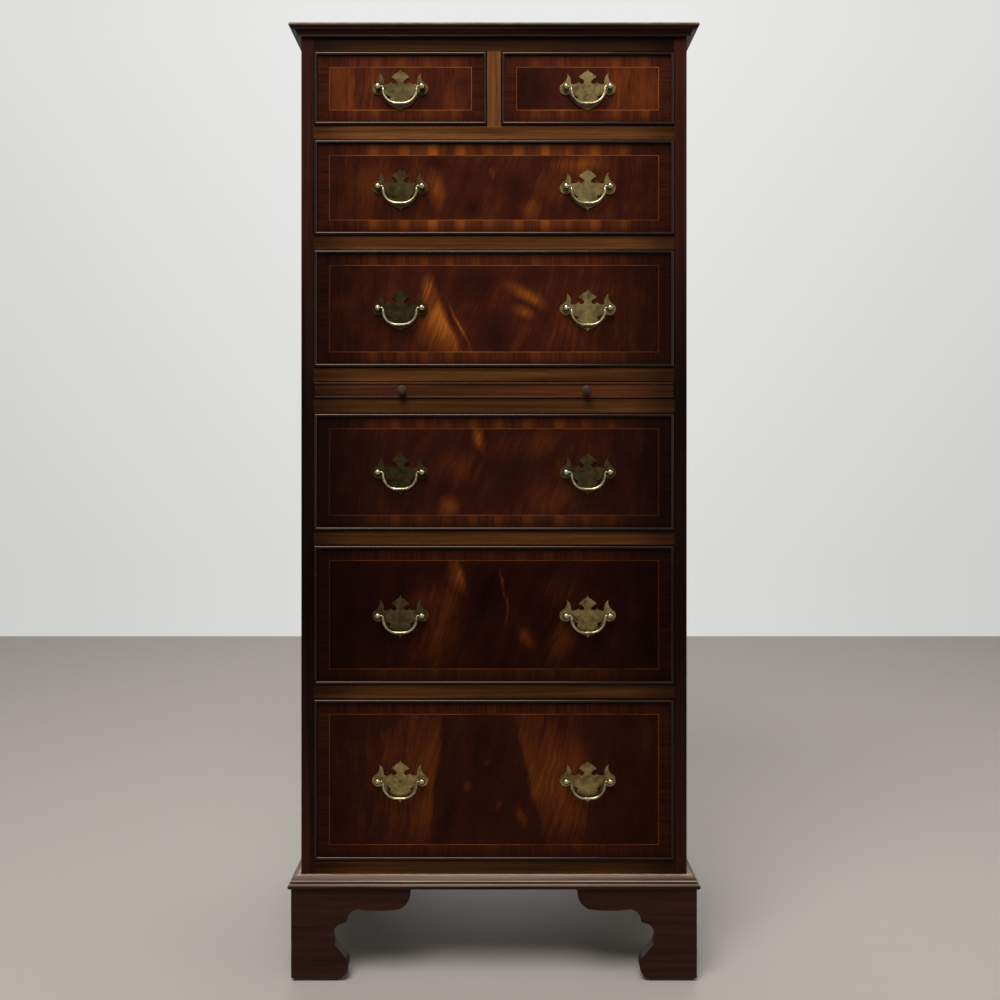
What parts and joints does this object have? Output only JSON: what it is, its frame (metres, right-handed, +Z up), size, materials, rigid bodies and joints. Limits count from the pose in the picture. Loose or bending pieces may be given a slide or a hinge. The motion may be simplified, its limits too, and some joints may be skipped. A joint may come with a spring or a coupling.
{
  "type": "tall chest of drawers",
  "caption": "Tall narrow mahogany chest of drawers with a pull-out brushing slide, cornice-moulded top, shaped brass bail handles, cockbeaded drawer fronts and bracket feet.",
  "frame": {"origin": "on the floor, under the middle of the chest's outer box", "axes": "+Z up, +X to the right seen from the front, the drawers face -Y"},
  "size_m": [0.598, 0.417, 1.392],
  "materials": {
    "carcass_veneer": "polished dark mahogany veneer",
    "moulding_mahogany": "polished dark mahogany",
    "rail_mahogany": "polished straight-grained mahogany",
    "foot_mahogany": "polished red mahogany",
    "inner_wood": "plain planed wood",
    "foot_pad": "matt black",
    "dark_knob": "ebonised and polished",
    "drawer_veneer": "polished flame mahogany veneer with banding and a line",
    "dark_bead": "ebonised and polished",
    "drawer_lining": "plain planed wood",
    "aged_brass": "aged lacquered brass"
  },
  "bodies": {
    "carcass": {"side_panel_left": "carcass_veneer", "side_panel_right": "carcass_veneer", "top_board": "carcass_veneer", "bottom_board": "inner_wood", "back_panel": "inner_wood", "cornice": "moulding_mahogany", "base_moulding": "moulding_mahogany", "drawer_rails": "rail_mahogany", "centre_divider": "rail_mahogany", "drawer_runners": "inner_wood", "drawer_stops": "inner_wood", "front_foot_left": "foot_mahogany", "front_foot_right": "foot_mahogany", "rear_foot_left": "foot_mahogany", "rear_foot_right": "foot_mahogany", "foot_blocks": "inner_wood", "foot_pads": "foot_pad"},
    "brushing_slide": {"brushing_slide": "rail_mahogany", "slide_lipping": "moulding_mahogany", "slide_knobs": "dark_knob"},
    "short_drawer_left": {"short_drawer_left_front": "drawer_veneer", "short_drawer_left_cockbead": "dark_bead", "short_drawer_left_box": "drawer_lining", "short_drawer_left_handle_plates": "aged_brass"},
    "short_drawer_left_bail": {"short_drawer_left_bail": "aged_brass"},
    "short_drawer_right": {"short_drawer_right_front": "drawer_veneer", "short_drawer_right_cockbead": "dark_bead", "short_drawer_right_box": "drawer_lining", "short_drawer_right_handle_plates": "aged_brass"},
    "short_drawer_right_bail": {"short_drawer_right_bail": "aged_brass"},
    "long_drawer_1": {"long_drawer_1_front": "drawer_veneer", "long_drawer_1_cockbead": "dark_bead", "long_drawer_1_box": "drawer_lining", "long_drawer_1_handle_plates": "aged_brass"},
    "long_drawer_1_bail_left": {"long_drawer_1_bail_left": "aged_brass"},
    "long_drawer_1_bail_right": {"long_drawer_1_bail_right": "aged_brass"},
    "long_drawer_2": {"long_drawer_2_front": "drawer_veneer", "long_drawer_2_cockbead": "dark_bead", "long_drawer_2_box": "drawer_lining", "long_drawer_2_handle_plates": "aged_brass"},
    "long_drawer_2_bail_left": {"long_drawer_2_bail_left": "aged_brass"},
    "long_drawer_2_bail_right": {"long_drawer_2_bail_right": "aged_brass"},
    "long_drawer_3": {"long_drawer_3_front": "drawer_veneer", "long_drawer_3_cockbead": "dark_bead", "long_drawer_3_box": "drawer_lining", "long_drawer_3_handle_plates": "aged_brass"},
    "long_drawer_3_bail_left": {"long_drawer_3_bail_left": "aged_brass"},
    "long_drawer_3_bail_right": {"long_drawer_3_bail_right": "aged_brass"},
    "long_drawer_4": {"long_drawer_4_front": "drawer_veneer", "long_drawer_4_cockbead": "dark_bead", "long_drawer_4_box": "drawer_lining", "long_drawer_4_handle_plates": "aged_brass"},
    "long_drawer_4_bail_left": {"long_drawer_4_bail_left": "aged_brass"},
    "long_drawer_4_bail_right": {"long_drawer_4_bail_right": "aged_brass"},
    "long_drawer_5": {"long_drawer_5_front": "drawer_veneer", "long_drawer_5_cockbead": "dark_bead", "long_drawer_5_box": "drawer_lining", "long_drawer_5_handle_plates": "aged_brass"},
    "long_drawer_5_bail_left": {"long_drawer_5_bail_left": "aged_brass"},
    "long_drawer_5_bail_right": {"long_drawer_5_bail_right": "aged_brass"}
  },
  "joints": [
    {"name": "brushing_slide_pull", "type": "slide", "parent": "carcass", "child": "brushing_slide", "axis": [0, -1, 0], "range_m": [0, 0.25]},
    {"name": "short_drawer_left_pull", "type": "slide", "parent": "carcass", "child": "short_drawer_left", "axis": [0, -1, 0], "range_m": [0, 0.29]},
    {"name": "short_drawer_left_bail_swing", "type": "hinge", "parent": "short_drawer_left", "child": "short_drawer_left_bail", "pos_m": [-0.137, -0.2015, 1.3003], "axis": [-1, 0, 0], "range_deg": [-12, 160]},
    {"name": "short_drawer_right_pull", "type": "slide", "parent": "carcass", "child": "short_drawer_right", "axis": [0, -1, 0], "range_m": [0, 0.29]},
    {"name": "short_drawer_right_bail_swing", "type": "hinge", "parent": "short_drawer_right", "child": "short_drawer_right_bail", "pos_m": [0.137, -0.2015, 1.3003], "axis": [-1, 0, 0], "range_deg": [-12, 160]},
    {"name": "long_drawer_1_pull", "type": "slide", "parent": "carcass", "child": "long_drawer_1", "axis": [0, -1, 0], "range_m": [0, 0.29]},
    {"name": "long_drawer_1_bail_left_swing", "type": "hinge", "parent": "long_drawer_1", "child": "long_drawer_1_bail_left", "pos_m": [-0.137, -0.2015, 1.1553], "axis": [-1, 0, 0], "range_deg": [-12, 160]},
    {"name": "long_drawer_1_bail_right_swing", "type": "hinge", "parent": "long_drawer_1", "child": "long_drawer_1_bail_right", "pos_m": [0.137, -0.2015, 1.1553], "axis": [-1, 0, 0], "range_deg": [-12, 160]},
    {"name": "long_drawer_2_pull", "type": "slide", "parent": "carcass", "child": "long_drawer_2", "axis": [0, -1, 0], "range_m": [0, 0.29]},
    {"name": "long_drawer_2_bail_left_swing", "type": "hinge", "parent": "long_drawer_2", "child": "long_drawer_2_bail_left", "pos_m": [-0.137, -0.2015, 0.9783], "axis": [-1, 0, 0], "range_deg": [-12, 160]},
    {"name": "long_drawer_2_bail_right_swing", "type": "hinge", "parent": "long_drawer_2", "child": "long_drawer_2_bail_right", "pos_m": [0.137, -0.2015, 0.9783], "axis": [-1, 0, 0], "range_deg": [-12, 160]},
    {"name": "long_drawer_3_pull", "type": "slide", "parent": "carcass", "child": "long_drawer_3", "axis": [0, -1, 0], "range_m": [0, 0.29]},
    {"name": "long_drawer_3_bail_left_swing", "type": "hinge", "parent": "long_drawer_3", "child": "long_drawer_3_bail_left", "pos_m": [-0.137, -0.2015, 0.7393], "axis": [-1, 0, 0], "range_deg": [-12, 160]},
    {"name": "long_drawer_3_bail_right_swing", "type": "hinge", "parent": "long_drawer_3", "child": "long_drawer_3_bail_right", "pos_m": [0.137, -0.2015, 0.7393], "axis": [-1, 0, 0], "range_deg": [-12, 160]},
    {"name": "long_drawer_4_pull", "type": "slide", "parent": "carcass", "child": "long_drawer_4", "axis": [0, -1, 0], "range_m": [0, 0.29]},
    {"name": "long_drawer_4_bail_left_swing", "type": "hinge", "parent": "long_drawer_4", "child": "long_drawer_4_bail_left", "pos_m": [-0.137, -0.2015, 0.5303], "axis": [-1, 0, 0], "range_deg": [-12, 160]},
    {"name": "long_drawer_4_bail_right_swing", "type": "hinge", "parent": "long_drawer_4", "child": "long_drawer_4_bail_right", "pos_m": [0.137, -0.2015, 0.5303], "axis": [-1, 0, 0], "range_deg": [-12, 160]},
    {"name": "long_drawer_5_pull", "type": "slide", "parent": "carcass", "child": "long_drawer_5", "axis": [0, -1, 0], "range_m": [0, 0.29]},
    {"name": "long_drawer_5_bail_left_swing", "type": "hinge", "parent": "long_drawer_5", "child": "long_drawer_5_bail_left", "pos_m": [-0.137, -0.2015, 0.2893], "axis": [-1, 0, 0], "range_deg": [-12, 160]},
    {"name": "long_drawer_5_bail_right_swing", "type": "hinge", "parent": "long_drawer_5", "child": "long_drawer_5_bail_right", "pos_m": [0.137, -0.2015, 0.2893], "axis": [-1, 0, 0], "range_deg": [-12, 160]}
  ]
}
